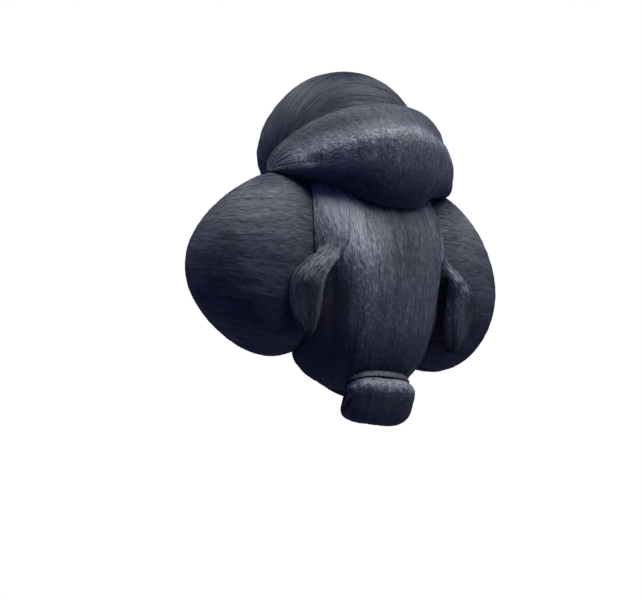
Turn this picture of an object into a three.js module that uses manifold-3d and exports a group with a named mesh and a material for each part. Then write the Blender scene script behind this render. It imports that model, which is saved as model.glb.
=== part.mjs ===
// An upswept black wig with side wings, a back panel and a two-part top bun.
// Millimetres. +X is the wearer's left, +Y the back of the head, +Z up.
// The origin is the highest point of the hollow, where the wig sits on the head.

import * as THREE from "three";
import { mergeVertices } from "three/addons/utils/BufferGeometryUtils.js";
import Module from "manifold-3d";

const wasm = await Module();
wasm.setup();

// Driving dimensions

const GAP = 0.4; // clearance between neighbouring pieces
const CAP_WALL = 3;

// The hollow: a head's half sizes at its widest level, which lies `drop` below the crown.
const HEAD = {
  halfWidth: 77, front: 93, back: 97, drop: 96,
  napeTaper: 0.0052, sideTaper: 0.0016, reach: 220,
};
const CAP_LEVELS = 10;
const CAP_TURNS = 36;

// How deep the cap's rim lies below the crown, every 30 degrees from the forehead to the nape.
const RIM = [
  { at: "forehead", depth: 50 },
  { at: "hairline corner", depth: 60 },
  { at: "temple", depth: 98 },
  { at: "ear", depth: 114 },
  { at: "behind the ear", depth: 128 },
  { at: "nape corner", depth: 158 },
  { at: "nape", depth: 168 },
];

// Each stuffed form: its middle, how far it reaches from there each way, how round it is (2 is an ellipse,
// more is boxier), how far its top and its foot lean in towards the head, its gain in height at the back,
// how far it rakes forwards per mm of height, its gain in width at the top, and how far its top stoops
// forwards.
const FORMS = {
  wing: {
    x: 100, y: 18, z: -55,
    out: 67, inner: 72, front: 77, back: 76, up: 100, down: 80,
    round: 2, topLean: 27, footLean: 10, swell: 0.23, rake: 0.13, flare: 0, stoop: 0,
  },
  panel: {
    x: 0, y: 45, z: -66,
    out: 80, inner: 80, front: 60, back: 90, up: 142, down: 101,
    round: 2.6, topLean: 0, footLean: 0, swell: 0, rake: 0, flare: 0.34, stoop: 66,
  },
  front: {
    x: 0, y: -42, z: 2,
    out: 82, inner: 82, front: 64, back: 50, up: 70, down: 60,
    round: 2.2, topLean: 0, footLean: 0, swell: 0, rake: -0.2, flare: 0, stoop: 0,
  },
  dome: {
    x: 0, y: -15, z: 66,
    out: 90, inner: 90, front: 65, back: 62, up: 90, down: 64,
    round: 2, topLean: 0, footLean: 0, swell: 0, rake: -0.1, flare: 0, stoop: 0,
  },
};

// The crescent roll: half sizes of a spindle across the head, whose ends bend forwards and down.
// Its underside hangs lower in the middle than at the ends, by `sag`.
const ROLL = {
  y: 80, z: 73, halfLength: 101, halfDepth: 49, up: 48, down: 60, sag: 42,
  round: 2.3, endForward: 56, endDown: 30,
};

// The tongue-shaped locks, whose tops lean over the back panel and sink into it.
const LOCK = {
  x: 85, y: 97, z: -66, turn: 25, halfWidth: 19, halfDepth: 15, up: 42, down: 49, round: 2.4, tip: 0.5,
  topLean: 26, topSink: 19, footLean: 6,
};

// The roll at the nape, which leans back by `lean` per mm of height.
const NAPE = { y: 105, z: -164, halfLength: 36, halfDepth: 24, halfHeight: 27.5, round: 3.2, lean: 0.28 };

// The fold between the two layers of that roll, open along its top and at its ends.
const NAPE_FOLD = { y: 118, z: -139, halfLength: 44, halfDepth: 2.2, halfHeight: 24, round: 2, lean: 0.28 };

const SMOOTHING = 0.05; // facets flatter than this are joined

const HAIR = { color: 0x34353c, roughness: 0.45, metalness: 0 };
const NET = { color: 0x2a2a2e, roughness: 0.85, metalness: 0 };

// Shaping

// Moves each vertex of a geometry to place(vertex), with its shared vertices merged.
function reshape(geometry, place) {
  geometry.deleteAttribute("normal");
  geometry.deleteAttribute("uv");
  const points = geometry.getAttribute("position");
  const point = new THREE.Vector3();
  for (let i = 0; i < points.count; i++) {
    point.fromBufferAttribute(points, i);
    place(point);
    points.setXYZ(i, point.x, point.y, point.z);
  }
  return mergeVertices(geometry, 1e-4);
}

// The closed solid inside a geometry.
function solid(geometry) {
  return new wasm.Manifold(
    new wasm.Mesh({
      numProp: 3,
      vertProperties: geometry.getAttribute("position").array,
      triVerts: new Uint32Array(geometry.index.array),
    }),
  );
}

// A unit sphere with its poles on the X axis.
function ball(around, along) {
  return new THREE.SphereGeometry(1, around, along).rotateZ(-Math.PI / 2);
}

// Pushes a unit vector out to the superellipsoid of that roundness.
function roundTo(n, power) {
  const size = (Math.abs(n.x) ** power + Math.abs(n.y) ** power + Math.abs(n.z) ** power) ** (1 / power);
  return n.divideScalar(size);
}

// The rim's depth at an angle round from the forehead, on a smooth curve through its rows.
const rimLine = new THREE.SplineCurve(RIM.map(({ depth }, i) => new THREE.Vector2(i, depth)));
const rimDepth = (turn) => rimLine.getPoint(Math.abs(turn) / Math.PI).y;

// The pieces

// The head's surface at an angle round from the forehead and a depth below the crown, pushed out by
// `grow`.
function headPoint(turn, depth, grow, point) {
  const level = Math.min(depth, HEAD.drop + grow) / (HEAD.drop + grow);
  const swell = Math.sqrt(Math.max(0, 1 - (1 - level) ** 2));
  const below = Math.max(0, depth - HEAD.drop - grow);
  const width = (HEAD.halfWidth + grow) * swell - HEAD.sideTaper * below ** 2;
  const behind = (HEAD.back + grow) * swell - HEAD.napeTaper * below ** 2;
  const ahead = (HEAD.front + grow) * swell;
  const along = -Math.cos(turn);
  point.set(Math.sin(turn) * width, along * (along > 0 ? behind : ahead), grow - depth);
}

// Moves a lathe of radius 0 (crown) to 1 (rim) to 2 (below the nape) onto the head, pushed out by its
// height.
function ontoHead(section) {
  return solid(
    reshape(new THREE.LatheGeometry(section, CAP_TURNS), (p) => {
      const [radius, turn, grow] = [Math.hypot(p.x, p.z), Math.atan2(p.x, p.z), p.y];
      const rim = rimDepth(turn);
      const down = Math.min(1, 1 - Math.cos((radius * Math.PI) / 2));
      const past = Math.max(0, radius - 1);
      if (grow < 0) p.set(0, 0, -HEAD.reach);
      else headPoint(turn, (rim + grow) * down + (HEAD.reach - rim) * past, grow, p);
    }),
  );
}

// A run of lathe points from one radius to another at one height.
function wallRun(from, to, steps, height) {
  return Array.from({ length: steps + 1 }, (_, i) => {
    return new THREE.Vector2(THREE.MathUtils.lerp(from, to, i / steps), height);
  });
}

// The cap's wall: up inside from the crown to the rim, and back outside.
const capWall = () => ontoHead([...wallRun(0, 1, CAP_LEVELS, 0), ...wallRun(1, 0, CAP_LEVELS, CAP_WALL)]);

// The room that the head and the cap take up, down to below the nape.
const headRoom = (grow) => {
  const side = [...wallRun(2, 1, 5, grow), ...wallRun(1, 0, CAP_LEVELS, grow).slice(1)];
  return ontoHead([new THREE.Vector2(0, -1), ...side]);
};

// A stuffed form, larger by `grow` all round.
function form(spec, grow = 0) {
  const { x, y, z, out, inner, front, back, up, down } = spec;
  const { round, topLean, footLean, swell, rake, flare, stoop } = spec;
  return solid(
    reshape(ball(30, 20), (n) => {
      roundTo(n, round);
      const lean = n.z > 0 ? topLean * n.z ** 2 : footLean * n.z ** 2;
      const height = (n.z > 0 ? up : down) * (1 + swell * n.y);
      const width = (n.x > 0 ? out : inner) * (1 + (n.z > 0 ? flare * n.z ** 2 : 0));
      const depth = n.y > 0 ? back : front;
      const rise = n.z * (height + grow);
      const forwards = rake * rise + (n.z > 0 ? stoop * n.z ** 2 : 0);
      n.set(x - lean + n.x * (width + grow), y + n.y * (depth + grow) - forwards, z + rise);
    }),
  );
}

// The crescent roll of the bun.
function crescent({ y, z, halfLength, halfDepth, up, down, sag, round, endForward, endDown }, grow = 0) {
  return solid(
    reshape(ball(22, 24), (n) => {
      roundTo(n, round);
      const bend = n.x ** 2;
      const height = n.z > 0 ? up : down - sag * bend;
      n.set(
        n.x * (halfLength + grow),
        y + n.y * (halfDepth + grow) - endForward * bend,
        z + n.z * (height + grow) - endDown * bend,
      );
    }),
  );
}

// A hanging lock: a flattened drop, turned to face outwards.
function tongue(spec, grow = 0) {
  const { x, y, z, turn, halfWidth, halfDepth, up, down } = spec;
  const { round, tip, topLean, topSink, footLean } = spec;
  const facing = THREE.MathUtils.degToRad(turn);
  const middle = new THREE.Vector3(x, y, z);
  return solid(
    reshape(ball(16, 14), (n) => {
      roundTo(n, round);
      const narrow = n.z < 0 ? 1 - tip * n.z ** 2 : 1;
      const lean = (n.z > 0 ? topLean : footLean) * n.z ** 2;
      const sink = n.z > 0 ? topSink * n.z ** 2 : 0;
      n.set(
        n.x * (halfWidth + grow) * narrow - lean,
        n.y * (halfDepth + grow) - sink,
        n.z * ((n.z > 0 ? up : down) + grow),
      );
      n.applyAxisAngle(new THREE.Vector3(0, 0, 1), -facing).add(middle);
    }),
  );
}

// A boxy roll across the head, for the nape.
function napeRoll({ y, z, halfLength, halfDepth, halfHeight, round, lean }, grow = 0) {
  return solid(
    reshape(ball(20, 16), (n) => {
      roundTo(n, round);
      const rise = n.z * (halfHeight + grow);
      n.set(n.x * (halfLength + grow), y + n.y * (halfDepth + grow) + lean * rise, z + rise);
    }),
  );
}

// Fitting: each piece is cut back from the ones it rests against.

const mirrored = (made) => made.mirror([1, 0, 0]);
const cutBack = (piece, ...others) => others.reduce((left, other) => left.subtract(other), piece);

const cap = capWall();
const head = headRoom(CAP_WALL + GAP);
const leftWingGrown = form(FORMS.wing, GAP);
const wingsGrown = leftWingGrown.add(mirrored(leftWingGrown));
const panelGrown = form(FORMS.panel, GAP);

const wings = [form(FORMS.wing), mirrored(form(FORMS.wing))].map((wing) => cutBack(wing, head));
const panel = cutBack(form(FORMS.panel), head, wingsGrown);
const dome = cutBack(form(FORMS.dome), head, wingsGrown, panelGrown);
const domeGrown = form(FORMS.dome, GAP);
const roll = cutBack(crescent(ROLL), head, wingsGrown, panelGrown, domeGrown);
const front = cutBack(form(FORMS.front), head, wingsGrown, panelGrown, domeGrown, crescent(ROLL, GAP));
const lockForms = [tongue(LOCK), mirrored(tongue(LOCK))];
const locks = lockForms.map((lock) => cutBack(lock, head, wingsGrown, panelGrown));
const nape = cutBack(napeRoll(NAPE), head, panelGrown, napeRoll(NAPE_FOLD));

// The assembly

const wig = new THREE.Group();

function addPiece(name, made, look) {
  const { vertProperties, triVerts } = made.simplify(SMOOTHING).getMesh();
  const geometry = new THREE.BufferGeometry();
  geometry.setAttribute("position", new THREE.BufferAttribute(vertProperties, 3));
  geometry.setIndex(new THREE.BufferAttribute(triVerts, 1));
  geometry.computeVertexNormals();
  const mesh = new THREE.Mesh(geometry, new THREE.MeshStandardMaterial(look));
  mesh.name = name;
  wig.add(mesh);
}

addPiece("cap", cap, NET);
addPiece("front_hair", front, HAIR);
addPiece("left_wing", wings[0], HAIR);
addPiece("right_wing", wings[1], HAIR);
addPiece("back_panel", panel, HAIR);
addPiece("left_lock", locks[0], HAIR);
addPiece("right_lock", locks[1], HAIR);
addPiece("bun_dome", dome, HAIR);
addPiece("bun_roll", roll, HAIR);
addPiece("nape_roll", nape, HAIR);

export default wig;
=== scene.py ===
"""An upswept black wig: combed side wings, a back panel with locks, a folded top bun and a nape roll."""
import math
from collections import namedtuple

import bmesh
import bpy
import numpy as np
from bpy.props import FloatProperty, FloatVectorProperty, IntProperty, PointerProperty
from mathutils import Matrix, Vector
from mathutils.bvhtree import BVHTree


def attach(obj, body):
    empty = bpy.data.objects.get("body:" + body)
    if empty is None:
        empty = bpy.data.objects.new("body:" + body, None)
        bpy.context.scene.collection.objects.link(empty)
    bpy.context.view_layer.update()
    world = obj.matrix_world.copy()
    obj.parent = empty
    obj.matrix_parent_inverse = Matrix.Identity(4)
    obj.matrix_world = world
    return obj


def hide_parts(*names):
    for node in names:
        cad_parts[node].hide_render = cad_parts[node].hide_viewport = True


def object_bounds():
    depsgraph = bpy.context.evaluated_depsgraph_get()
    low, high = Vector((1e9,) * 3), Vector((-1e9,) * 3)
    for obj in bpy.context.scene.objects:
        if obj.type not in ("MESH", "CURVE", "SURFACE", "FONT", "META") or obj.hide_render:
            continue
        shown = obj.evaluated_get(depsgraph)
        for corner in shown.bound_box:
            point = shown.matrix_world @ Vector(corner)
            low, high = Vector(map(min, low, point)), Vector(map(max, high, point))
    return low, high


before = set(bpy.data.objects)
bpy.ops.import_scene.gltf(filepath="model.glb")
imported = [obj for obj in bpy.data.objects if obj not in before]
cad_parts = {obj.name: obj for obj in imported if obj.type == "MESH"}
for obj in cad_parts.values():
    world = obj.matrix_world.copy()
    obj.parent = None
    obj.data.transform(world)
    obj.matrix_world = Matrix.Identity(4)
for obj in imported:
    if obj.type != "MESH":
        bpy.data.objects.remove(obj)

bl_info = {
    "name": "Upswept Wig",
    "version": (1, 0, 0),
    "blender": (4, 5, 0),
    "location": "View3D > Sidebar > Wig",
    "description": "Builds a combed, padded wig piece by piece",
    "category": "Add Mesh",
}

CAD_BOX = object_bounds()
BODY = "root"
MM = 0.001
SEED = 1207

# Sizes in millimetres, as the frame's solids have them, but the locks and the nape roll lie further out.
CAP_WALL = 3.0
HEAD_WALL = 0.8  # share of the ball, from its top, that makes the head's wall
HEAD = dict(half_width=77, front=93, back=97, drop=96, nape_taper=0.0052, side_taper=0.0016, reach=220)
RIM = (50, 60, 98, 114, 128, 158, 168)  # the rim's depth every 30 degrees, forehead to nape

WING = dict(x=100, y=18, z=-55, out=67, inner=72, front=77, back=76, up=100, down=80,
            top_lean=27, foot_lean=10, swell=0.23, rake=0.13)
PANEL = dict(x=0, y=45, z=-66, out=80, inner=80, front=60, back=90, up=142, down=101,
             power=2.6, flare=0.34, stoop=66)
FRONT = dict(x=0, y=-42, z=2, out=82, inner=82, front=64, back=50, up=70, down=60, power=2.2, rake=-0.2)
DOME = dict(x=0, y=-15, z=66, out=90, inner=90, front=65, back=62, up=90, down=64, rake=-0.1)
ROLL = dict(y=80, z=73, half_length=101, half_depth=49, up=48, down=60, sag=42,
            power=2.3, end_forward=56, end_down=30)
LOCK = dict(x=86.5, y=101, z=-66, turn=25, half_width=18, half_depth=15, up=42, down=49,
            power=2.6, tip=0.4, top_lean=26, top_sink=19, foot_lean=6, dent=3)
LOCK_HOLLOW = dict(across=(0.1, 0.7), along=(-0.35, 0.6))  # middle and reach of the hollow face
NAPE = dict(y=110, z=-167, half_length=36.5, half_depth=20, half_height=24.5, power=3.2, lean=0.28)
NAPE_LAYER = dict(y=106, z=-155, half_length=33, half_depth=17, half_height=19.5, power=3, lean=0.28)
NAPE_CURL = dict(turns=1.6, start=0.6, outer=0.62, inner=0.14)

# Grooves over a form: a path of points (x, y, z) of its unit ball, the depth in mm, the width on the ball,
# and the share of the path over which each end fades out.
Groove = namedtuple("Groove", "path depth width fade")
ROLL_CREASE = Groove(((0.70, 0.71, -0.12), (0.80, 0.59, 0.05), (0.83, 0.48, 0.28), (0.77, 0.33, 0.55),
                      (0.67, 0.20, 0.71)), 1.8, 0.09, (0.25, 0.4))
ROLL_DIP = Groove(((0.80, 0.40, 0.45), (0.58, 0.58, 0.57), (0.33, 0.68, 0.65), (0.0, 0.65, 0.76)),
                  5.0, 0.28, (0.3, 0))
PANEL_DIP = Groove(((0.70, 0.70, 0.15), (0.76, 0.65, 0.0), (0.73, 0.66, -0.2), (0.68, 0.60, -0.42),
                    (0.55, 0.50, -0.67)), 8.0, 0.18, (0.3, 0.1))

# Places on a form's unit ball. A step eases in from its start to its end. A spot fades out all round.
Step = namedtuple("Step", "strength start end")
Spot = namedtuple("Spot", "strength x z wide high")

# Shaping, in mm: the panel's flanks drawn in below the wings, and the roll's lifted underside.
FLANK_OUT, FLANK_BELOW = Step(3.0, 0.7, 0.9), Step(1.0, -0.1, -0.35)
SPINE_IN, SPINE_BACK = Step(0.85, 0, 1.1), Step(-0.4, 1.0, 2.1)  # leans above a lock, as shares of its own
LIFT_FROM, LIFT_TO, LIFT_AT = Step(8.0, 0.2, 0.55), Step(1.0, 0.95, 0.65), dict(z=-0.75, high=0.3)

# Painted light and shade: how much lighter (painted highlight) or darker (painted shade) the hair's colour is
# made at each place.
WING_TOP, WING_FOOT, WING_SLANT = Step(0.5, 0.2, 0.6), Step(-0.8, 0.3, -0.15), dict(lean=0.35, rise=0.15)
PANEL_CORNER, PANEL_LEFT, PANEL_RIGHT = Spot(1.0, 0.6, 0.42, 0.3, 0.28), 3.6, 1.0
PANEL_MIDDLE, PANEL_FOOT = Spot(-1.1, -0.2, 0.28, 0.45, 0.25), Step(-1.3, -0.15, -0.55)
PANEL_BEHIND, PANEL_BELOW = Step(-2.0, 0.5, 0.68), Step(1.0, 0.12, -0.05)
DOME_SIDE, DOME_FOLD = Step(0.3, 0.7, 0.95), Spot(-1.3, 0.45, 0.58, 0.32, 0.25)
ROLL_BAND = dict(strength=2.3, z=0.45, fall=0.3, high=0.17)
ROLL_END, ROLL_ABOVE, ROLL_BELOW = Step(1.0, 0.84, 0.95), Step(-0.5, 0.22, 0.4), Step(-1.3, -0.35, -0.9)
ROLL_END_LIT = 0.5
LOCK_LIT, LOCK_FACE, LOCK_BELOW = 0.5, Step(-2.4, 0.85, 0.45), Step(1.0, 0.55, 0.1)
NAPE_TOP, NAPE_FOOT = Step(2.6, 0.3, 0.55), Step(-2.0, 0.4, -0.05)


# Shapes: each maps points of a unit ball to millimetres.

def spread(n, power):
    """Unit vectors pushed out to the superellipsoid of that power."""
    return n / (np.abs(n) ** power).sum(1, keepdims=True) ** (1 / power)


def either(test, yes, no):
    return np.where(test > 0, yes, no)


def smooth(low, high, x):
    f = np.clip((x - low) / (high - low), 0, 1)
    return f * f * (3 - 2 * f)


def hump(x, middle, reach):
    """1 at the middle, 0 from `reach` away."""
    return np.clip(1 - ((x - middle) / reach) ** 2, 0, 1)


def step(row, x):
    return row.strength * smooth(row.start, row.end, x)


def spot(row, x, z):
    return row.strength * np.exp(-(((x - row.x) / row.wide) ** 2) - ((z - row.z) / row.high) ** 2)


class Puff:
    """A stuffed form with its own reach each way."""

    def __init__(self, side=1, top_lean=0, foot_lean=0, swell=0, rake=0, flare=0, stoop=0, power=2,
                 **reach):
        self.side, self.top_lean, self.foot_lean, self.stoop = side, top_lean, foot_lean, stoop
        self.swell, self.rake, self.flare, self.power = swell, rake, flare, power
        self.reach = reach

    def place(self, n, grow=0.0):
        r = self.reach
        nx, ny, nz = spread(n, self.power).T
        height = either(nz, r["up"], r["down"]) * (1 + self.swell * ny)
        width = either(nx, r["out"], r["inner"]) * (1 + either(nz, self.flare, 0) * nz**2)
        depth = either(ny, r["back"], r["front"])
        rise = nz * (height + grow)
        x = r["x"] - either(nz, self.top_lean, self.foot_lean) * nz**2 + nx * (width + grow)
        y = r["y"] + ny * (depth + grow) - self.rake * rise - either(nz, self.stoop, 0) * nz**2
        return np.column_stack((self.side * x, y, r["z"] + rise))


class Crescent:
    """A roll across the head, whose ends bend forwards and down and whose underside sags in the middle."""

    side = 1

    def __init__(self, y, z, half_length, half_depth, up, down, sag, power, end_forward, end_down):
        self.middle, self.half = (y, z), (half_length, half_depth, up, down)
        self.sag, self.power, self.end_forward, self.end_down = sag, power, end_forward, end_down

    def place(self, n, grow=0.0):
        length, depth, up, down = self.half
        nx, ny, nz = spread(n, self.power).T
        bend = nx**2
        height = either(nz, up, down - self.sag * bend)
        return np.column_stack((
            nx * (length + grow),
            self.middle[0] + ny * (depth + grow) - self.end_forward * bend,
            self.middle[1] + nz * (height + grow) - self.end_down * bend))


class Pillow:
    """A boxy roll across the head, which leans back as it rises."""

    side = 1

    def __init__(self, y, z, half_length, half_depth, half_height, power, lean):
        self.middle, self.half = (0, y, z), (half_length, half_depth, half_height)
        self.power, self.lean = power, lean

    def place(self, n, grow=0.0):
        p = spread(n, self.power) * (np.array(self.half) + grow)
        p[:, 1] += self.lean * p[:, 2]
        return p + self.middle


class Tongue:
    """A hanging lock: a flattened drop with a hollow face, whose top leans over the panel and sinks in."""

    def __init__(self, side, x, y, z, turn, half_width, half_depth, up, down, power, tip,
                 top_lean, top_sink, foot_lean, dent):
        self.side, self.middle, self.turn, self.power = side, (x, y, z), math.radians(turn), power
        self.half, self.tip, self.leans = (half_width, half_depth, up, down), tip, (top_lean, foot_lean)
        self.sink, self.dent = top_sink, dent

    def place(self, n, grow=0.0):
        width, depth, up, down = (h + grow for h in self.half)
        nx, ny, nz = spread(n, self.power).T
        narrow = 1 - either(nz, 0, self.tip) * nz**2
        hollow = self.dent * hump(nx, *LOCK_HOLLOW["across"]) * hump(nz, *LOCK_HOLLOW["along"])
        u = nx * width * narrow - either(nz, *self.leans) * nz**2
        v = ny * depth - hollow * np.maximum(ny, 0) - either(nz, self.sink, 0) * nz**2
        return self.stand(u, v, nz * either(nz, up, down))

    def stand(self, u, v, rise):
        """Points at a place across the lock's face, a depth out of it and a height."""
        c, s = math.cos(self.turn), math.sin(self.turn)
        x, y, z = self.middle
        return np.column_stack((self.side * (x + c * u + s * v), y - s * u + c * v, z + rise))

    def outward(self):
        return self.side * math.sin(self.turn), math.cos(self.turn), 0.0

    def spine(self, rise, across):
        """Points down the lock's middle plane, from above its top, where it goes on straight up."""
        width, _, up, down = self.half
        lean = self.leans[0] * (step(SPINE_IN, rise) + step(SPINE_BACK, rise))
        return self.stand(across * width - lean, 0 * rise, rise * either(rise, up, down))


class HeadRoom:
    """The room that the head and the cap take up, down to below the nape."""

    side = 1

    def place(self, n, grow=0.0):
        tilt = np.arccos(np.clip(n[:, 2], -1, 1)) / (HEAD_WALL * math.pi)
        turn = np.arctan2(n[:, 0], -n[:, 1])
        depth = (HEAD["reach"] + grow) * (1 - np.cos(np.minimum(tilt, 1) * math.pi / 2))
        p = head_points(turn, depth, grow)
        end = 1 / HEAD_WALL
        p[:, :2] *= np.clip((end - tilt) / (end - 1), 0, 1)[:, None]
        return p


def head_points(turn, depth, grow):
    """The head's surface at angles from the forehead and depths below the crown, pushed out by `grow`."""
    drop = HEAD["drop"] + grow
    swell = np.sqrt(np.clip(1 - (1 - np.minimum(depth, drop) / drop) ** 2, 0, 1))
    below = np.maximum(0, depth - drop) ** 2
    width = (HEAD["half_width"] + grow) * swell - HEAD["side_taper"] * below
    behind = (HEAD["back"] + grow) * swell - HEAD["nape_taper"] * below
    ahead = (HEAD["front"] + grow) * swell
    along = -np.cos(turn)
    return np.column_stack((np.sin(turn) * width, along * either(along, behind, ahead), grow - depth))


def rim_depth(turn):
    """The rim's depth at angles from the forehead, on a smooth curve through its rows."""
    rows = np.array((RIM[0], *RIM, RIM[-1]), float)
    at = np.clip(np.abs(turn) / math.pi * (len(RIM) - 1), 0, len(RIM) - 1 - 1e-9)
    i, f = at.astype(int), at % 1
    a, b, c, d = (rows[i + k] for k in range(4))
    return b + 0.5 * f * (c - a + f * (2 * a - 5 * b + 4 * c - d + f * (3 * (b - c) + d - a)))


# Combing: soft noise that runs along the hair. Each size has its share of the comb's cells, and its rows.
COMB_SIZES = (("lock", 0.14, 4), ("strand", 0.45, 12), ("fleck", 0.8, 36))


def grain(across, along, cells, rows, rng):
    """Smooth noise from -1 to 1, with `cells` across the hair and `rows` along it."""
    table = rng.uniform(-1, 1, (cells, rows))
    a, b = across * cells, along * rows
    i, j = np.floor(a).astype(int), np.floor(b).astype(int)
    f, g = a - i, b - j
    f, g = f * f * (3 - 2 * f), g * g * (3 - 2 * g)
    i0, i1, j0, j1 = i % cells, (i + 1) % cells, j % rows, (j + 1) % rows
    low = table[i0, j0] * (1 - f) + table[i1, j0] * f
    high = table[i0, j1] * (1 - f) + table[i1, j1] * f
    return low * (1 - g) + high * g


def combed(across, along, comb, rng):
    """How far the hair stands below its form, in mm: broad waves, combed locks, strands and flecks."""
    drift = 0.010 * grain(across, along, 9, 4, rng) + 0.003 * grain(across, along, 37, 9, rng)
    across = across + comb["drift"] * drift
    depth = comb["wave"] * grain(across, along, 6, 5, rng)
    for size, cells, rows in COMB_SIZES:
        depth = depth + comb[size] * grain(across, along, int(comb["cells"] * cells), rows, rng)
    return depth


def both_sides(n):
    """Unit vectors with the right side folded onto the left."""
    return np.column_stack((np.abs(n[:, 0]), n[:, 1:]))


def groove(n, row):
    """A groove on both sides, as depths below the form in mm."""
    n, path = both_sides(n), np.array(row.path, float)
    fine = np.linspace(0, len(path) - 1, 60)
    line = np.column_stack([np.interp(fine, range(len(path)), path[:, k]) for k in range(3)])
    line /= np.linalg.norm(line, axis=1, keepdims=True)
    share, tiny = fine / fine[-1], 1e-6
    first, last = (max(fade, tiny) for fade in row.fade)
    strength = smooth(0, first, share + tiny) * smooth(0, last, 1 - share + tiny)
    deep = np.zeros(len(n))
    for point, strong in zip(line, strength):
        deep = np.maximum(deep, strong * np.exp(-((n - point) ** 2).sum(1) / row.width**2))
    return -row.depth * deep


# Meshes

TURNS = {"X": Matrix.Rotation(math.pi / 2, 3, "Y"), "Y": Matrix.Rotation(-math.pi / 2, 3, "X"),
         "Z": Matrix.Identity(3)}


def read(mesh_part, name, width):
    values = np.empty(len(mesh_part) * width, np.float32)
    mesh_part.foreach_get(name, values)
    return values.reshape(-1, width).astype(float)


def ball(around, along, axis):
    """A unit ball with its poles on an axis, as a bmesh."""
    bm = bmesh.new()
    bmesh.ops.create_uvsphere(bm, u_segments=around, v_segments=along, radius=1.0)
    bmesh.ops.rotate(bm, cent=(0, 0, 0), matrix=TURNS[axis], verts=bm.verts)
    return bm


def to_object(bm, name):
    bmesh.ops.recalc_face_normals(bm, faces=bm.faces)
    mesh = bpy.data.meshes.new(name)
    bm.to_mesh(mesh)
    bm.free()
    mesh.shade_smooth()
    made = bpy.data.objects.new(name, mesh)
    bpy.context.scene.collection.objects.link(made)
    return made


def move_points(mesh, points):
    mesh.vertices.foreach_set("co", (points * MM).astype(np.float32).ravel())
    mesh.update()


class Flow:
    """How hair runs over a shape: from pole to pole of an axis, the poles pulled aside, or round it."""

    def __init__(self, shape, axis, pull=(0, 0, 0), lay=None):
        self.shape, self.axis, self.pull, self.lay = shape, axis, np.array(pull, float), lay
        self.turns = np.array(TURNS[axis])

    def angles(self, n):
        """The angle round the axis and the angle from its pole."""
        p = n @ self.turns
        return np.arctan2(p[:, 1], p[:, 0]), np.arccos(np.clip(p[:, 2], -1, 1))

    def bent(self, n):
        """Unit vectors with the ones near the poles pulled aside."""
        near = np.abs(n @ self.turns[:, 2:]) ** 3
        n = n + near * self.pull
        return n / np.linalg.norm(n, axis=1, keepdims=True)

    def place(self, n):
        return self.shape.place(self.bent(n))

    def unit(self, turn, tilt):
        """Unit vectors at an angle round the axis and an angle from its pole."""
        p = np.column_stack((np.cos(turn) * np.sin(tilt), np.sin(turn) * np.sin(tilt), np.cos(tilt)))
        return p @ self.turns.T

    def at(self, turn, tilt):
        return self.place(self.unit(turn, tilt))

    def wrapped(self, n):
        """1 where the hair runs round the axis, 0 where it runs from pole to pole."""
        return np.zeros(len(n)) if self.lay is None else self.lay(n)


def all_round(n):
    return np.ones(len(n))


class Workshop:
    """Cutters that keep each piece clear of the ones it rests against."""

    def __init__(self):
        self.cutters = {}

    def cutter(self, name, shape, grow):
        made = to_object(ball(128, 64, "Z"), f"cutter_{name}")
        move_points(made.data, shape.place(read(made.data.vertices, "co", 3), grow))
        if shape.side < 0:
            made.data.flip_normals()
        made.hide_render = True
        self.cutters[name] = made

    def cut(self, piece, names):
        for name in names:
            cut = piece.modifiers.new(name, "BOOLEAN")
            cut.operation, cut.solver, cut.object = "DIFFERENCE", "MANIFOLD", self.cutters[name]
        graph = bpy.context.evaluated_depsgraph_get()
        mesh = bpy.data.meshes.new_from_object(piece.evaluated_get(graph), preserve_all_data_layers=True,
                                               depsgraph=graph)
        old, piece.data = piece.data, mesh
        piece.modifiers.clear()
        bpy.data.meshes.remove(old)
        if not mesh.polygons:
            raise RuntimeError(f"{piece.name}: nothing is left of it")
        mesh.name = piece.name
        mesh.shade_smooth()

    def clear(self):
        for made in self.cutters.values():
            bpy.data.objects.remove(made)
        self.cutters.clear()


SHOP = Workshop()
WINGS = ("left_wing", "right_wing")

# Single hairs: the length as a share of the form, and in mm the lift, the bow, the thickness and the distance
# from the form at which one ends.
LOOSE = dict(length=(0.06, 0.22), lift=0.08, bow=0.12, thick=(0.1, 0.22), end=4)
# Draped hairs: in mm how far out to look from, the steepest jump, the lift and the thickness, and the points
# to soften over.
DRAPE = dict(away=120.0, jump=14, lift=(0.1, 0.5), thick=(0.14, 0.4), soften=3)


def seeded(name):
    return np.random.default_rng(SEED + sum(i * ord(c) for i, c in enumerate(name, 1)))


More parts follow.
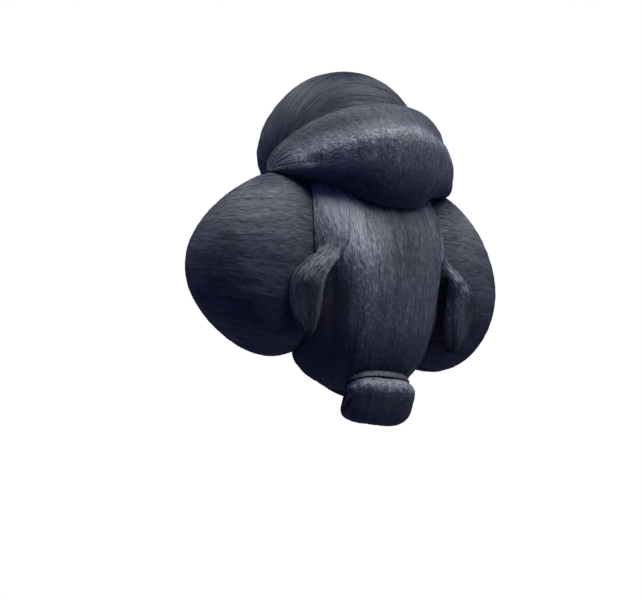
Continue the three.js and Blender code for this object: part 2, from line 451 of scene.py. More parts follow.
def hair_form(name, flow, mesh_size, comb, keep_off, extra=None, bloom=None):
    """A combed form: a ball mapped to its shape, with its hair pressed in and its neighbours cut away."""
    rng = seeded(name)
    made = to_object(ball(*mesh_size, flow.axis), name)
    mesh = made.data
    n = read(mesh.vertices, "co", 3)
    n /= np.linalg.norm(n, axis=1, keepdims=True)
    turn, tilt = flow.angles(n)
    wrap = flow.wrapped(n)
    base = flow.place(n)
    move_points(mesh, base)
    if flow.shape.side < 0:
        mesh.flip_normals()
    outward = read(mesh.vertex_normals, "vector", 3)
    a, b = turn / (2 * math.pi) % 1, tilt / math.pi
    lengthwise = smooth(0, 0.3, np.sin(tilt)) * combed(a, b, comb, rng)
    depth = (1 - wrap) * lengthwise + wrap * combed(b, a, comb, rng)
    depth = depth - sum(comb[size] for size in ("wave", "lock", "strand", "fleck"))
    if extra is not None:
        depth = depth + extra(n)
    move_points(mesh, base + outward * np.minimum(depth, 0)[:, None])
    corner = np.empty(len(mesh.loops), np.int32)
    mesh.loops.foreach_get("vertex_index", corner)
    radius, length = comb["size"]
    strand = np.column_stack((radius * np.cos(turn), radius * np.sin(turn), length * b))
    # The form's painted light and shade, as a shift of its colour: painted highlight above 0, painted shade
    # below 0.
    light = np.zeros(len(n)) if bloom is None else bloom(n)
    layers = (("strand", "FLOAT_VECTOR", "vector", strand), ("lay", "FLOAT", "value", wrap),
              ("bloom", "FLOAT", "value", light))
    for label, kind, key, values in layers:
        layer = mesh.attributes.new(label, kind, "CORNER")
        layer.data.foreach_set(key, values[corner].astype(np.float32).ravel())
    SHOP.cut(made, keep_off)
    return made


def strand_mesh(name, lines, sides=3):
    """Tapered tubes along lines of centres, normals and a thickness, as one mesh."""
    points, faces, used = [], [], 0
    for centre, normal, thickness in lines:
        rows = len(centre)
        along = np.gradient(centre, axis=0)
        along /= np.linalg.norm(along, axis=1, keepdims=True) + 1e-12
        beside = np.cross(along, normal)
        taper = 0.2 + 0.8 * np.sin(np.linspace(0.1, math.pi - 0.1, rows))
        thick = (thickness * MM * taper)[:, None]
        for k in range(sides):
            angle = 2 * math.pi * k / sides + 0.5
            points.append(centre + thick * (math.cos(angle) * beside + math.sin(angle) * normal))
        ring = used + np.arange(rows - 1)
        for k in range(sides):
            u, v = k * rows, (k + 1) % sides * rows
            faces.append(np.column_stack((ring + u, ring + u + 1, ring + v + 1, ring + v)))
        used += rows * sides
    mesh = bpy.data.meshes.new(name)
    mesh.from_pydata(np.vstack(points).tolist(), [], np.vstack(faces).tolist())
    bm = bmesh.new()
    bm.from_mesh(mesh)
    bpy.data.meshes.remove(mesh)
    bmesh.ops.holes_fill(bm, edges=[e for e in bm.edges if e.is_boundary], sides=sides)
    return to_object(bm, name)


def surface(piece):
    return BVHTree.FromObject(piece, bpy.context.evaluated_depsgraph_get())


def loose_hairs(name, piece, flow, count, stray=1.0, steps=9):
    """Fine hairs that lie on a finished form, more or less stray."""
    rng = seeded(name)
    tree = surface(piece)
    share = np.linspace(0, 1, steps)
    lines = []
    for _ in range(count):
        middle, start = rng.uniform(0.05, 0.95, 2)
        run = np.clip(middle + rng.uniform(*LOOSE["length"]) * (share - 0.5), 0.03, 0.97)
        wave = 0.0012 * np.sin(share * rng.uniform(6, 16) + rng.uniform(0, 6))
        swing = start + stray * (rng.normal(0, 0.006) * share + wave)
        turn, tilt = swing * 2 * math.pi, run * math.pi
        if flow.wrapped(flow.unit(turn[:1], tilt[:1]))[0] > 0.5:
            turn, tilt = run * 2 * math.pi * 1.4 + start * 40, np.clip(swing, 0.04, 0.96) * math.pi
        lift = rng.uniform(0, LOOSE["lift"]) + rng.uniform(0, LOOSE["bow"]) * np.sin(share * math.pi)
        centre, normal = [], []
        for p, up in zip(flow.at(turn, tilt), stray * lift):
            near, facing, _, far = tree.find_nearest(Vector(p * MM))
            if far > LOOSE["end"] * MM:
                break
            centre.append(np.array(near + facing * (up * MM)))
            normal.append(np.array(facing))
        thickness = rng.uniform(*LOOSE["thick"])
        if len(centre) > 3:
            lines.append((np.array(centre), np.array(normal), thickness))
    return strand_mesh(name, lines)


def draped_hairs(name, tongue, pieces, count, steps=16):
    """Hairs that run down a panel and on over a hanging lock, so that one passes into the other."""
    rng = seeded(name)
    trees = [surface(piece) for piece in pieces]
    outward = np.array(tongue.outward())
    away, window = DRAPE["away"], 2 * DRAPE["soften"] + 1
    lines = []
    for _ in range(count):
        across = rng.uniform(-1, 1)
        rise = np.linspace(1.05 + 0.8 * rng.uniform() ** 2, rng.uniform(0.0, 0.8), steps)
        fan = 0.65 + 0.5 * smooth(0.8, 1.8, rise)
        middle = tongue.spine(rise, across * fan + rng.normal(0, 0.08) * (rise - 1))
        reach = []
        for p in middle:
            start = Vector((p + outward * away) * MM)
            hits = [tree.ray_cast(start, Vector(-outward))[3] for tree in trees]
            hits = [hit for hit in hits if hit is not None]
            reach.append(away - min(hits) / MM if hits else np.nan)
        reach = np.array(reach)
        if np.isnan(reach).any() or np.abs(np.diff(reach)).max() > DRAPE["jump"]:
            continue
        soft = np.convolve(np.pad(reach, DRAPE["soften"], "edge"), np.ones(window) / window, "valid")
        lift = rng.uniform(*DRAPE["lift"]) * np.sin(np.linspace(0.15, math.pi - 0.15, steps))
        centre = middle + (np.maximum(reach, soft) + lift)[:, None] * outward
        lines.append((centre * MM, np.tile(outward, (steps, 1)), rng.uniform(*DRAPE["thick"])))
    return strand_mesh(name, lines)


# Materials

class Wire:
    """A socket of a material, with Python's operators as Math nodes."""

    def __init__(self, recipe, socket):
        self.recipe, self.socket = recipe, socket

    def math(self, operation, *values):
        return self.recipe.add("ShaderNodeMath", {"operation": operation}, dict(enumerate(values)))

    def __add__(self, other):
        return self.math("ADD", self, other)

    def __sub__(self, other):
        return self.math("SUBTRACT", self, other)

    def __rsub__(self, other):
        return self.math("SUBTRACT", other, self)

    def __mul__(self, other):
        return self.math("MULTIPLY", self, other)

    __radd__, __rmul__ = __add__, __mul__


class Recipe:
    """A material's nodes."""

    def __init__(self, name):
        self.material = bpy.data.materials.new(name)
        self.material.use_nodes = True
        self.tree = self.material.node_tree
        self.tree.nodes.clear()

    def add(self, kind, settings=None, sockets=None, out=0):
        node = self.tree.nodes.new(kind)
        for key, value in (settings or {}).items():
            if key == "stops":
                stops = node.color_ramp.elements
                for i, (position, colour) in enumerate(value):
                    stop = stops[i] if i < 2 else stops.new(position)
                    stop.position, stop.color = position, colour
            else:
                setattr(node, key, value)
        for key, value in (sockets or {}).items():
            if isinstance(value, Wire):
                self.tree.links.new(value.socket, node.inputs[key])
            else:
                node.inputs[key].default_value = value
        return Wire(self, node.outputs[out]) if node.outputs else node

    def finish(self, shader):
        self.add("ShaderNodeOutputMaterial", None, {"Surface": shader})
        return self.material

    def scaled(self, vector, scale):
        return self.add("ShaderNodeVectorMath", {"operation": "MULTIPLY"}, {0: vector, 1: scale})

    def noise(self, vector, scale, detail=2.0, out=0):
        return self.add("ShaderNodeTexNoise", {"noise_dimensions": "3D"},
                        {"Vector": vector, "Scale": scale, "Detail": detail}, out)

    def clamp(self, value, low, high):
        return self.add("ShaderNodeClamp", None, {0: value, 1: low, 2: high})

    def mix(self, factor, a, b):
        return self.add("ShaderNodeMix", {"data_type": "FLOAT"}, {0: factor, 2: a, 3: b})

    def ramp(self, factor, *stops):
        stops = [(at, (*colour, 1)) for at, colour in stops]
        return self.add("ShaderNodeValToRGB", {"stops": stops}, {0: factor})


# The hair's finish: cells to the mm across fine strands, flecks and broad locks, and their sway in mm.
STRAND_CELLS = dict(fine=1.4, fleck=0.42, broad=0.12, broad_rows=0.02)
STRAND_SWAY = dict(cells=0.08, reach=5)
CLOUD_CELLS = 34.0  # cells to the metre of the soft mottling
BUMP_DEPTH = 0.0016


def hair_material(name, look, gloss, stretch, relief, fleck_rows):
    """Black hair: fine strands that follow the combing, with painted highlights and painted shade from a
    per-corner attribute of painted light.
    """
    r = Recipe(name)
    straight = r.add("ShaderNodeAttribute", {"attribute_name": "strand"}, out=1)
    sway = r.noise(straight, STRAND_SWAY["cells"], 2.0, out=1)
    strand = r.add("ShaderNodeVectorMath", {"operation": "MULTIPLY_ADD"},
                   {0: sway, 1: (STRAND_SWAY["reach"],) * 3, 2: straight})
    lay = r.add("ShaderNodeAttribute", {"attribute_name": "lay"}, out=2)
    bloom = r.add("ShaderNodeAttribute", {"attribute_name": "bloom"}, out=2)
    place = r.add("ShaderNodeTexCoord", out=3)

    def lines(across, along, detail):
        down = r.noise(r.scaled(strand, (across, across, along)), 1.0, detail)
        round_ = r.noise(r.scaled(strand, (along, along, across)), 1.0, detail)
        return r.mix(lay, down, round_)

    fine = lines(STRAND_CELLS["fine"], 0.9 * fleck_rows, 2.0)
    fleck = lines(STRAND_CELLS["fleck"], fleck_rows, 3.0)
    broad = lines(STRAND_CELLS["broad"], STRAND_CELLS["broad_rows"], 2.0)
    cloud = r.noise(place, CLOUD_CELLS, 3.0)
    shade = (fine - 0.5) * 0.6 + (fleck - 0.5) * relief + (broad - 0.5) * 0.6 + (cloud - 0.5) * 0.4
    # Painted light: the attribute moves the colour up the ramp towards the painted sheen colour, and painted
    # shade moves it towards the dark colour.
    colour = r.ramp(shade + bloom * 0.16 + 0.48, (0.24, look.hair_dark), (0.66, look.hair_light),
                    (0.95, look.hair_sheen))
    dull = r.clamp(bloom, -2.0, 0.0) * -0.25 - r.clamp(bloom, 0.0, 2.0) * 0.04
    rough = r.clamp(look.roughness + dull + (0.5 - fleck) * 0.3 + (cloud - 0.5) * 0.15, 0.3, 1.0)
    raised = r.clamp(bloom * 0.35 + 0.75, 0.25, 1.0) * relief
    height = (fine * 0.35 + fleck) * raised + broad * 0.6
    bump = r.add("ShaderNodeBump", None,
                 {"Strength": look.strand_bump, "Distance": BUMP_DEPTH, "Height": height})
    return r.finish(r.add("ShaderNodeBsdfPrincipled", None, {
        "Base Color": colour, "Roughness": rough, "Specular IOR Level": gloss, "Normal": bump,
        "Anisotropic": stretch}))


def brushed_hair(name, look):
    """Brushed hair with an even sheen and short flecks."""
    return hair_material(name, look, look.gloss, stretch=0.0, relief=1.0, fleck_rows=0.27)


def sleek_hair(name, look):
    """Tightly drawn hair with a weaker sheen, stretched level, and long flecks."""
    return hair_material(name, look, look.sleek_gloss, look.stretch, relief=0.6, fleck_rows=0.1)


def strand_material(name, look, dark, light, gloss):
    """Single hairs on top of the combed forms."""
    r = Recipe(name)
    tone = r.noise(r.add("ShaderNodeTexCoord", out=3), 160.0, 1.0)
    return r.finish(r.add("ShaderNodeBsdfPrincipled", None, {
        "Base Color": r.ramp(tone, (0.35, dark), (0.85, light)),
        "Roughness": look.roughness - 0.06 + 0.12 * tone, "Specular IOR Level": gloss}))


def loose_strands(name, look):
    """Dark single hairs."""
    return strand_material(name, look, look.hair_dark, look.hair_light, gloss=0.3)


def painted_lit_strands(name, look):
    """Single hairs painted light: a painted highlight colour, up to brighter than the painted sheen."""
    painted_highlight = [1.7 * c for c in look.hair_sheen]
    return strand_material(name, look, look.hair_light, painted_highlight, look.gloss)


def net_material(name, look):
    """The cap's woven black net."""
    r = Recipe(name)
    place = r.add("ShaderNodeTexCoord", out=3)
    threads = {"Vector": place, "Scale": 260.0, "Distortion": 0.6}
    bands = [r.add("ShaderNodeTexWave", {"bands_direction": axis}, threads) for axis in ("X", "Z")]
    weave = bands[0] * bands[1]
    mottle = r.noise(place, 60.0, 3.0)
    colour = r.ramp(weave * 0.6 + mottle * 0.4, (0.2, (0.006, 0.006, 0.007)), (0.9, look.net_colour))
    bump = r.add("ShaderNodeBump", None, {"Strength": 0.5, "Distance": 0.0005, "Height": weave})
    return r.finish(r.add("ShaderNodeBsdfPrincipled", None, {
        "Base Color": colour, "Roughness": 0.78 + 0.15 * mottle, "Specular IOR Level": 0.25,
        "Normal": bump}))


def floor_material(name, look):
    """The pale studio floor."""
    r = Recipe(name)
    mottle = r.noise(r.add("ShaderNodeTexCoord", out=3), 3.0)
    return r.finish(r.add("ShaderNodeBsdfPrincipled", None, {
        "Base Color": (*look.floor_colour, 1), "Roughness": 0.75 + 0.1 * mottle,
        "Specular IOR Level": 0.2}))


MAKERS = {"hair_brushed": brushed_hair, "hair_sleek": sleek_hair, "hair_strands": loose_strands,
          "hair_draped": painted_lit_strands, "cap_net": net_material, "stage_floor": floor_material}


def coat(piece, name, look):
    piece.data.materials.clear()
    piece.data.materials.append(bpy.data.materials.get(name) or MAKERS[name](name, look))


def hand_in(piece, node, look, material="hair_brushed"):
    """Gives a piece its material and ties it to the frame."""
    coat(piece, material, look)
    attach(piece, BODY)
    if node:
        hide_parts(node)


# Combing of each kind of piece: depths in mm, cells side by side, and the girth's radius and length in mm.
WING_COMB = dict(cells=130, drift=1.0, wave=0.8, lock=0.16, strand=0.14, fleck=0.12, size=(75, 230))
PANEL_COMB = dict(cells=240, drift=1.6, wave=1.4, lock=0.5, strand=0.3, fleck=0.24, size=(75, 270))
DOME_COMB = dict(cells=240, drift=1.6, wave=1.2, lock=0.45, strand=0.26, fleck=0.16, size=(72, 260))
ROLL_COMB = dict(cells=180, drift=1.4, wave=0.9, lock=0.3, strand=0.24, fleck=0.16, size=(48, 250))
FRONT_COMB = dict(cells=160, drift=1.2, wave=0.8, lock=0.3, strand=0.2, fleck=0.14, size=(62, 230))
LOCK_COMB = dict(cells=80, drift=1.6, wave=0.5, lock=0.5, strand=0.35, fleck=0.25, size=(18, 110))
NAPE_COMB = dict(cells=70, drift=1.0, wave=0.5, lock=0.3, strand=0.22, fleck=0.14, size=(24, 90))


class WigLook(bpy.types.PropertyGroup):
    """Colours and finish."""

    hair_dark: FloatVectorProperty(
        name="Dark hair", description="Colour between strands", subtype="COLOR", size=3,
        default=(0.0085, 0.0095, 0.0155), min=0, max=1)
    hair_light: FloatVectorProperty(
        name="Light hair", description="Colour on top of strands", subtype="COLOR", size=3,
        default=(0.049, 0.052, 0.061), min=0, max=1)
    # The painted sheen: a painted highlight colour that the hair's colour is shifted towards where painted
    # light is strong.
    hair_sheen: FloatVectorProperty(
        name="Lit hair", description="Colour where brushed hair catches the light", subtype="COLOR", size=3,
        default=(0.185, 0.188, 0.19), min=0, max=1)
    roughness: FloatProperty(
        name="Roughness", description="Softness of the sheen", subtype="FACTOR", default=0.65, min=0, max=1)
    stretch: FloatProperty(
        name="Stretch", description="How far the sheen stretches across the strands", subtype="FACTOR",
        default=0.85, min=0, max=1)
    gloss: FloatProperty(
        name="Gloss", description="Strength of the sheen", subtype="FACTOR", default=1.0, min=0, max=1)
    sleek_gloss: FloatProperty(
        name="Sleek gloss", description="Strength of the sheen on tightly drawn hair", subtype="FACTOR",
        default=0.6, min=0, max=1)
    strand_bump: FloatProperty(
        name="Strand relief", description="Relief of the finest strands", subtype="FACTOR",
        default=0.8, min=0, max=1)
    net_colour: FloatVectorProperty(
        name="Cap net", description="Colour of the cap's threads", subtype="COLOR", size=3,
        default=(0.030, 0.030, 0.034), min=0, max=1)
    floor_colour: FloatVectorProperty(
        name="Floor", description="Colour of the floor", subtype="COLOR", size=3,
        default=(0.93, 0.88, 0.66), min=0, max=1)


class WigSizes(bpy.types.PropertyGroup):
    """Sizes and counts."""

    gap: FloatProperty(
        name="Gap", description="Clearance between neighbouring pieces", subtype="DISTANCE", unit="LENGTH",
        default=0.0004, min=0.0001, max=0.002, precision=5)
    hairs: IntProperty(
        name="Loose hairs", description="Single hairs on a large form", default=600, min=10, max=2000)


class WigStage(bpy.types.PropertyGroup):
    """Camera, floor and light."""

    azimuth: FloatProperty(
        name="Azimuth", description="Camera's turn round the wig", subtype="ANGLE", unit="ROTATION",
        default=math.radians(150))
    elevation: FloatProperty(
        name="Elevation", description="Camera's height angle", subtype="ANGLE", unit="ROTATION",
        default=math.radians(-2))
    tilt: FloatProperty(
        name="Tilt", description="Lean of the wig in the picture", subtype="ANGLE", unit="ROTATION",
        default=math.radians(6.5))
    distance: FloatProperty(
        name="Distance", description="From the camera to the crown", subtype="DISTANCE", unit="LENGTH",
        default=2.3, min=0.5)
    floor_drop: FloatProperty(
        name="Floor drop", description="Height of the wig's foot above the floor", subtype="DISTANCE",
        unit="LENGTH", default=2.4, min=0.0)
    floor_radius: FloatProperty(
        name="Floor radius", description="Radius of the round floor", subtype="DISTANCE", unit="LENGTH",
        default=1.6, min=0.1)
    key_power: FloatProperty(
        name="Key light", description="Power of the high light behind the wig", unit="POWER",
        default=34.0, min=0)
    fill_power: FloatProperty(
        name="Fill light", description="Power of the high light at the side", unit="POWER",
        default=27.0, min=0)
    rim_power: FloatProperty(
        name="Rim light", description="Power of the low light at the other side", unit="POWER",
        default=5.5, min=0)
    front_power: FloatProperty(
        name="Front light", description="Power of the light before the wig", unit="POWER",
        default=13.0, min=0)
    air: FloatProperty(
        name="Room light", description="Strength of the light from all sides", default=0.28, min=0)


class WigOperator:
    bl_options = {"REGISTER", "UNDO"}

    def execute(self, context):
        scene = context.scene
        self.make(scene.wig_sizes, scene.wig_look, scene.wig_stage)
        return {"FINISHED"}


def add_hairs(node, piece, flow, count, look, stray=1.0):
    hand_in(loose_hairs(f"{node}_strands", piece, flow, count, stray), None, look, material="hair_strands")


def from_angles(azimuth, elevation):
    """The direction from the wig to a place at those angles, 0 in front and 180 degrees behind."""
    return Vector((math.sin(azimuth) * math.cos(elevation), -math.cos(azimuth) * math.cos(elevation),
                   math.sin(elevation)))


# The lamps: angles in degrees, and the width of each square lamp in metres.
Lamp = namedtuple("Lamp", "name azimuth elevation width")
LAMPS = (Lamp("key", 200, 56, 1.2), Lamp("fill", 110, 74, 1.2), Lamp("rim", 230, 10, 1.2),
         Lamp("front", 40, 32, 1.4))
LAMP_DISTANCE = 2.0
LAMP_COLOUR, ROOM_COLOUR, BACKDROP = (0.95, 0.975, 1.0), (0.22, 0.26, 1.0, 1), (1, 1, 1, 1)
FRAME_PX, CROWN_PX, PX_PER_M = (642, 600), (340, 225), 1000.0  # the picture, and the crown's place in it


class WIG_OT_stage(WigOperator, bpy.types.Operator):
    """Make the camera, the floor and the lights"""

    bl_idname = "wig.stage"
    bl_label = "Stage"

    def make(self, sizes, look, stage):
        scene = bpy.context.scene
        self.camera(scene, stage)
        lo, hi = CAD_BOX
        bm = bmesh.new()
        bmesh.ops.create_circle(bm, cap_ends=True, segments=96, radius=stage.floor_radius)
        bmesh.ops.translate(bm, vec=(0, 0, lo[2] - stage.floor_drop), verts=bm.verts)
        floor = to_object(bm, "floor")
        coat(floor, "stage_floor", look)
        centre = (Vector(lo) + Vector(hi)) / 2
        for row in LAMPS:
            lamp = bpy.data.lights.new(row.name, "AREA")
            lamp.shape, lamp.size, lamp.color = "SQUARE", row.width, LAMP_COLOUR
            lamp.energy = getattr(stage, f"{row.name}_power")
            light = bpy.data.objects.new(row.name, lamp)
            towards = from_angles(math.radians(row.azimuth), math.radians(row.elevation))
            light.location = centre + towards * LAMP_DISTANCE
            light.rotation_euler = towards.to_track_quat("Z", "Y").to_euler()
            scene.collection.objects.link(light)
        self.room(scene, stage)
        scene.view_settings.view_transform = "Standard"

    def camera(self, scene, stage):
        back = from_angles(stage.azimuth, stage.elevation)
        right = Vector((math.cos(stage.azimuth), math.sin(stage.azimuth), 0))
        up = back.cross(right)
        c, s = math.cos(stage.tilt), math.sin(stage.tilt)
        cam_right, cam_up = right * c + up * s, up * c - right * s
        across, above = FRAME_PX[0] / 2 - CROWN_PX[0], CROWN_PX[1] - FRAME_PX[1] / 2
        target = (cam_right * across + cam_up * above) / PX_PER_M
        data = bpy.data.cameras.new("camera")
        data.sensor_width = 36.0
        data.lens = PX_PER_M * stage.distance * data.sensor_width / FRAME_PX[0]
        camera = bpy.data.objects.new("camera", data)
        scene.collection.objects.link(camera)
        camera.location = back * stage.distance
        look_back = (camera.location - target).normalized()
        side = cam_up.cross(look_back).normalized()
        camera.rotation_euler = Matrix((side, look_back.cross(side), look_back)).transposed().to_euler()
        scene.camera = camera

    def room(self, scene, stage):
        world = bpy.data.worlds.new("studio")
        world.use_nodes = True
        scene.world = world
        tree = world.node_tree
        tree.nodes.clear()
        kinds = dict(ray="LightPath", soft="Background", white="Background", mix="MixShader",
                     out="OutputWorld")
        nodes = {key: tree.nodes.new(f"ShaderNode{kind}") for key, kind in kinds.items()}
        nodes["soft"].inputs[0].default_value = ROOM_COLOUR
        nodes["soft"].inputs[1].default_value = stage.air
        nodes["white"].inputs[0].default_value = BACKDROP
        for start, output, end, socket in (("ray", "Is Camera Ray", "mix", 0), ("soft", 0, "mix", 1),
                                           ("white", 0, "mix", 2), ("mix", 0, "out", 0)):
            tree.links.new(nodes[start].outputs[output], nodes[end].inputs[socket])


class WIG_OT_cutters(WigOperator, bpy.types.Operator):
    """Make the shapes that keep the pieces apart"""

    bl_idname = "wig.cutters"
    bl_label = "Cutters"

    def make(self, sizes, look, stage):
        gap = sizes.gap / MM
        SHOP.cutter("head", HeadRoom(), CAP_WALL + gap)
        SHOP.cutter("left_wing", Puff(**WING), gap)
        SHOP.cutter("right_wing", Puff(side=-1, **WING), gap)
        SHOP.cutter("panel", Puff(**PANEL), gap)
        SHOP.cutter("dome", Puff(**DOME), gap)
        SHOP.cutter("roll", Crescent(**ROLL), gap)
        SHOP.cutter("nape_front", Pillow(**NAPE), gap)


class WIG_OT_cap(WigOperator, bpy.types.Operator):
    """Make the woven cap with its rim"""

    bl_idname = "wig.cap"
    bl_label = "Cap"

    def make(self, sizes, look, stage):
        bm = bmesh.new()
        bmesh.ops.create_grid(bm, x_segments=144, y_segments=48, size=1.0)
        grid = np.array([v.co for v in bm.verts])
        turn, share = grid[:, 0] * math.pi, (grid[:, 1] + 1) / 2
        depth = rim_depth(turn) * (1 - np.cos(share * math.pi / 2))
        for vert, point in zip(bm.verts, head_points(turn, depth, 0.0) * MM):
            vert.co = point
        bmesh.ops.remove_doubles(bm, verts=bm.verts, dist=1e-5)
        bmesh.ops.recalc_face_normals(bm, faces=bm.faces)
        bmesh.ops.solidify(bm, geom=bm.faces[:], thickness=-CAP_WALL * MM)
        hand_in(to_object(bm, "cap_net"), "cap", look, material="cap_net")


class WIG_OT_wings(WigOperator, bpy.types.Operator):
    """Make the two side wings, combed from the temples to the back"""

    bl_idname = "wig.wings"
    bl_label = "Wings"

    def make(self, sizes, look, stage):
        def painted_lit(n):
            """Painted highlight at the upper back, painted shade towards the outer foot."""
            height = n[:, 2] - WING_SLANT["lean"] * n[:, 0] + WING_SLANT["rise"]
            return step(WING_TOP, height) + step(WING_FOOT, height)

        for side, node in ((1, "left_wing"), (-1, "right_wing")):
            flow = Flow(Puff(side=side, **WING), "Z", lay=all_round)
            wing = hair_form(f"{node}_hair", flow, (200, 240), WING_COMB, ("head",), bloom=painted_lit)
            hand_in(wing, node, look, material="hair_sleek")
            add_hairs(node, wing, flow, sizes.hairs, look)


class WIG_OT_panel(WigOperator, bpy.types.Operator):
    """Make the back panel, combed downwards"""

    bl_idname = "wig.panel"
    bl_label = "Back panel"

    def make(self, sizes, look, stage):
        def folds(n):
            """The dip behind each hanging lock and the flanks drawn in below the wings."""
            x, _, z = both_sides(n).T
            return groove(n, PANEL_DIP) - step(FLANK_OUT, x) * step(FLANK_BELOW, z)

        def painted_lit(n):
            """Painted highlight at the upper corners, most on the left; painted shade behind the locks, in
            the middle and at the foot.
            """
            x, _, z = both_sides(n).T
            corner = either(n[:, 0], PANEL_LEFT, PANEL_RIGHT) * spot(PANEL_CORNER, x, z)
            behind = step(PANEL_BEHIND, x) * step(PANEL_BELOW, z)
            return corner + spot(PANEL_MIDDLE, n[:, 0], z) + behind + step(PANEL_FOOT, z)

        flow = Flow(Puff(**PANEL), "Z")
        panel = hair_form("back_panel_hair", flow, (400, 120), PANEL_COMB, ("head", *WINGS), folds, painted_lit)
        hand_in(panel, "back_panel", look)
        add_hairs("back_panel", panel, flow, sizes.hairs, look)


class WIG_OT_bun(WigOperator, bpy.types.Operator):
    """Make the bun's dome and the roll folded behind it"""

    bl_idname = "wig.bun"
    bl_label = "Bun"

    def make(self, sizes, look, stage):
        def painted_dome_lit(n):
            """Painted light at the sides, painted shade where the dome turns down to the roll."""
            x, _, z = both_sides(n).T
            return step(DOME_SIDE, x) + spot(DOME_FOLD, x, z)

        dome_off = ("head", *WINGS, "panel")
        flow = Flow(Puff(**DOME), "X", pull=(0, 0.35, -0.35))
        dome = hair_form("bun_dome_hair", flow, (400, 120), DOME_COMB, dome_off, bloom=painted_dome_lit)
        hand_in(dome, "bun_dome", look, material="hair_sleek")
        add_hairs("bun_dome", dome, flow, sizes.hairs, look)

        def wrapped(n):
            """Wound round the roll, and gathered at its ends and below."""
            return (1 - smooth(0.8, 0.93, np.abs(n[:, 0]))) * smooth(-0.8, -0.45, n[:, 2])

        def folds(n):
            """The crease beside each gathered end, the dip along the top and the lifted underside."""
            x, _, z = both_sides(n).T
            low = np.exp(-(((z - LIFT_AT["z"]) / LIFT_AT["high"]) ** 2))
            lifted = step(LIFT_FROM, x) * step(LIFT_TO, x) * low
            return groove(n, ROLL_CREASE) + groove(n, ROLL_DIP) - lifted

        def painted_lit(n):
            """A painted highlight band along the roll and on its gathered ends, painted shade above and below
            it.
            """
            x, _, z = both_sides(n).T
            off = z - (ROLL_BAND["z"] - ROLL_BAND["fall"] * x)
            end = step(ROLL_END, x)
            band = ROLL_BAND["strength"] * np.exp(-((off / ROLL_BAND["high"]) ** 2)) * (1 - end)
            return band + ROLL_END_LIT * end + step(ROLL_ABOVE, off) + step(ROLL_BELOW, off)

        roll_off = ("head", *WINGS, "panel", "dome")
        flow = Flow(Crescent(**ROLL), "X", lay=wrapped)
        roll = hair_form("bun_roll_hair", flow, (240, 210), ROLL_COMB, roll_off, folds, painted_lit)
        hand_in(roll, "bun_roll", look)
        add_hairs("bun_roll", roll, flow, sizes.hairs, look)


class WIG_OT_front(WigOperator, bpy.types.Operator):
    """Make the puffed hair over the forehead"""

    bl_idname = "wig.front"
    bl_label = "Front hair"

    def make(self, sizes, look, stage):
        flow = Flow(Puff(**FRONT), "X", lay=all_round)
        keep_off = ("head", *WINGS, "panel", "dome", "roll")
        piece = hair_form("front_hair_puff", flow, (180, 210), FRONT_COMB, keep_off)
        hand_in(piece, "front_hair", look)
        add_hairs("front_hair", piece, flow, sizes.hairs // 2, look)


class WIG_OT_locks(WigOperator, bpy.types.Operator):
    """Make the hanging locks beside the back panel"""

    bl_idname = "wig.locks"
    bl_label = "Locks"

    def make(self, sizes, look, stage):
        def painted_lit(n):
            """Painted light along the edges, painted shade on the hollow face."""
            return LOCK_LIT + step(LOCK_FACE, np.abs(n[:, 0])) * step(LOCK_BELOW, n[:, 2])

        keep_off, stray = ("head", *WINGS, "panel"), 7.0
        for side, node in ((1, "left_lock"), (-1, "right_lock")):
            flow = Flow(Tongue(side, **LOCK), "Z")
            piece = hair_form(f"{node}_hair", flow, (160, 80), LOCK_COMB, keep_off, bloom=painted_lit)
            hand_in(piece, node, look)
            add_hairs(node, piece, flow, sizes.hairs // 2, look, stray)
            over = (bpy.data.objects["back_panel_hair"], piece)
            draped = draped_hairs(f"{node}_draped", flow.shape, over, sizes.hairs // 4)
            # The draped hairs are painted light, as a painted highlight over the panel's corner and the lock.
            hand_in(draped, None, look, material="hair_draped")


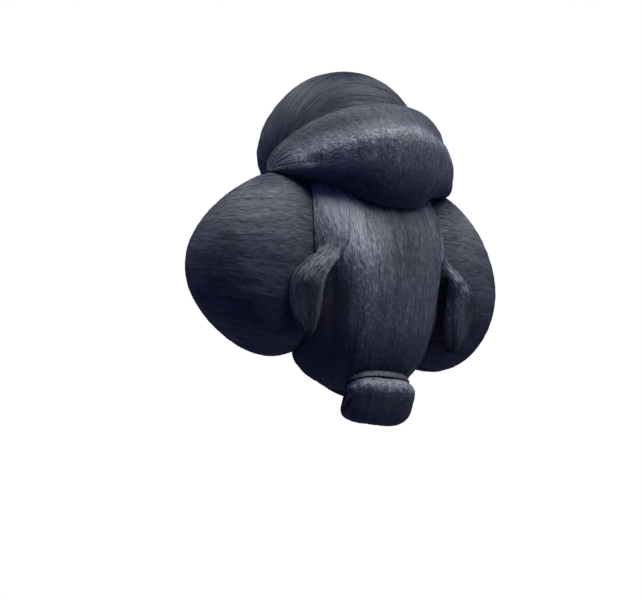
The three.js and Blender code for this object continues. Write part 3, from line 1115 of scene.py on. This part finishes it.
class WIG_OT_nape(WigOperator, bpy.types.Operator):
    """Make the folded roll at the nape"""

    bl_idname = "wig.nape"
    bl_label = "Nape roll"

    def make(self, sizes, look, stage):
        def curl(n):
            """The rolled hair's spiral at each end."""
            share = np.linspace(0, 1, 30)
            radius = NAPE_CURL["outer"] + (NAPE_CURL["inner"] - NAPE_CURL["outer"]) * share
            angle = 2 * math.pi * NAPE_CURL["turns"] * share + NAPE_CURL["start"]
            path = np.column_stack((np.sqrt(1 - radius**2), radius * np.cos(angle), radius * np.sin(angle)))
            return groove(n, Groove(path, depth=3.0, width=0.09, fade=(0.15, 0.1)))

        def painted_lit(n):
            """Painted highlight along the top, painted shade below."""
            return step(NAPE_TOP, n[:, 2]) + step(NAPE_FOOT, n[:, 2])

        keep_off = ("head", "panel")
        flow = Flow(Pillow(**NAPE), "X", lay=all_round)
        piece = hair_form("nape_roll_hair", flow, (140, 150), NAPE_COMB, keep_off, curl, painted_lit)
        hand_in(piece, "nape_roll", look)
        add_hairs("nape_roll", piece, flow, sizes.hairs // 4, look)
        flow = Flow(Pillow(**NAPE_LAYER), "X", lay=all_round)
        piece = hair_form("nape_roll_layer", flow, (120, 120), NAPE_COMB, (*keep_off, "nape_front"))
        hand_in(piece, None, look)


OPERATORS = (WIG_OT_stage, WIG_OT_cutters, WIG_OT_cap, WIG_OT_wings, WIG_OT_panel, WIG_OT_bun, WIG_OT_front,
             WIG_OT_locks, WIG_OT_nape)


class WIG_PT_panel(bpy.types.Panel):
    """Lists the wig's settings and pieces"""

    bl_idname = "WIG_PT_panel"
    bl_label = "Wig"
    bl_space_type = "VIEW_3D"
    bl_region_type = "UI"
    bl_category = "Wig"

    def draw(self, context):
        layout = self.layout
        for group in (context.scene.wig_look, context.scene.wig_sizes, context.scene.wig_stage):
            box = layout.box()
            for key in group.bl_rna.properties.keys():
                if key not in ("rna_type", "name"):
                    box.prop(group, key)
        for operator in OPERATORS:
            layout.operator(operator.bl_idname)


GROUPS = {"wig_look": WigLook, "wig_sizes": WigSizes, "wig_stage": WigStage}
CLASSES = (*GROUPS.values(), *OPERATORS, WIG_PT_panel)


def register():
    for cls in CLASSES:
        bpy.utils.register_class(cls)
    for name, group in GROUPS.items():
        setattr(bpy.types.Scene, name, PointerProperty(type=group))


def unregister():
    for name in GROUPS:
        delattr(bpy.types.Scene, name)
    for cls in reversed(CLASSES):
        bpy.utils.unregister_class(cls)


def main():
    register()
    for operator in OPERATORS:
        group, name = operator.bl_idname.split(".")
        getattr(getattr(bpy.ops, group), name)()
    SHOP.clear()


if __name__ == "__main__":
    main()
